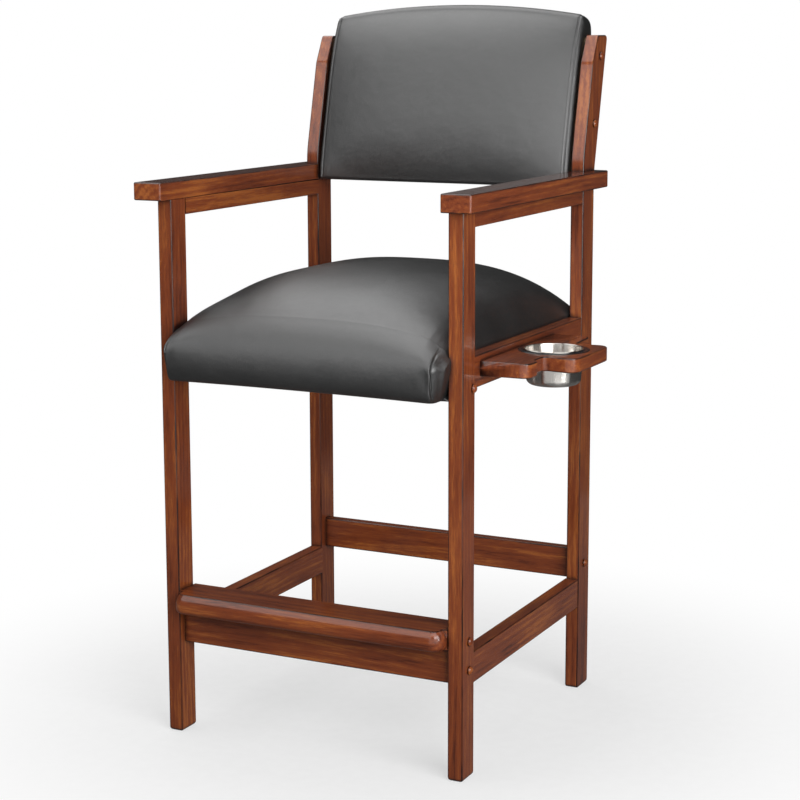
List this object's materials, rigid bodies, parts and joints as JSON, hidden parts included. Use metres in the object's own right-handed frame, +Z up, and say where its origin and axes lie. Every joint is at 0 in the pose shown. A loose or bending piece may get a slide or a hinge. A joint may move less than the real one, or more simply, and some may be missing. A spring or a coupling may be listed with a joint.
{
  "type": "bar-height armchair",
  "caption": "Bar-height wooden armchair with flat arms, a crowned vinyl seat, a leaning padded back, a footrest board and a steel cup in a side bracket.",
  "frame": {"origin": "on the floor, under the middle of the whole object's box, with the cup bracket in it", "axes": "+Z up, the chair faces -Y, and +X is the sitter's left, where the cup is"},
  "size_m": [0.7156, 0.6708, 1.2429],
  "materials": {
    "wood": "satin chestnut stain with a darker glaze in the joints",
    "plywood": "raw plywood",
    "vinyl": "charcoal vinyl over foam, satin, fine leather grain",
    "lining": "thin black lining cloth",
    "ring": "glossy black",
    "steel": "brushed stainless steel",
    "zinc": "zinc-plated steel"
  },
  "bodies": {
    "chair": {"front_leg_left": "wood", "front_leg_right": "wood", "rear_post_left": "wood", "rear_post_right": "wood", "armrest_left": "wood", "armrest_right": "wood", "arm_rail_left": "wood", "arm_rail_right": "wood", "seat_side_rail_left": "wood", "seat_side_rail_right": "wood", "side_stretcher_left": "wood", "side_stretcher_right": "wood", "seat_front_rail": "wood", "seat_rear_rail": "wood", "front_stretcher": "wood", "rear_stretcher": "wood", "footrest_board": "wood", "corner_block_front_left": "wood", "corner_block_front_right": "wood", "corner_block_rear_left": "wood", "corner_block_rear_right": "wood", "cup_bracket": "wood", "seat_deck": "plywood", "back_board": "plywood", "seat_cushion": "vinyl", "back_cushion": "vinyl", "back_rear_pad": "vinyl", "seat_dust_cover": "lining", "cup_ring": "ring", "front_rail_button_left": "wood", "front_rail_button_right": "wood", "front_stretcher_button_left": "wood", "front_stretcher_button_right": "wood", "footrest_button_left": "wood", "footrest_button_right": "wood", "rear_stretcher_button_left": "wood", "rear_stretcher_button_right": "wood", "back_lower_button_left": "wood", "back_lower_button_right": "wood", "back_upper_button_left": "wood", "back_upper_button_right": "wood", "front_rail_screw_left": "zinc", "front_rail_screw_right": "zinc", "front_stretcher_screw_left": "zinc", "front_stretcher_screw_right": "zinc", "footrest_screw_left": "zinc", "footrest_screw_right": "zinc", "rear_stretcher_screw_left": "zinc", "rear_stretcher_screw_right": "zinc", "back_lower_screw_left": "zinc", "back_lower_screw_right": "zinc", "back_upper_screw_left": "zinc", "back_upper_screw_right": "zinc", "deck_screw_front_left": "zinc", "deck_screw_front_right": "zinc", "deck_screw_rear_left": "zinc", "deck_screw_rear_right": "zinc", "bracket_screw_front": "zinc", "bracket_screw_rear": "zinc"},
    "cup": {"cup": "steel"}
  },
  "joints": [
    {"name": "cup_lift", "type": "slide", "parent": "chair", "child": "cup", "axis": [0, 0, 1], "range_m": [0, 0.08]}
  ]
}
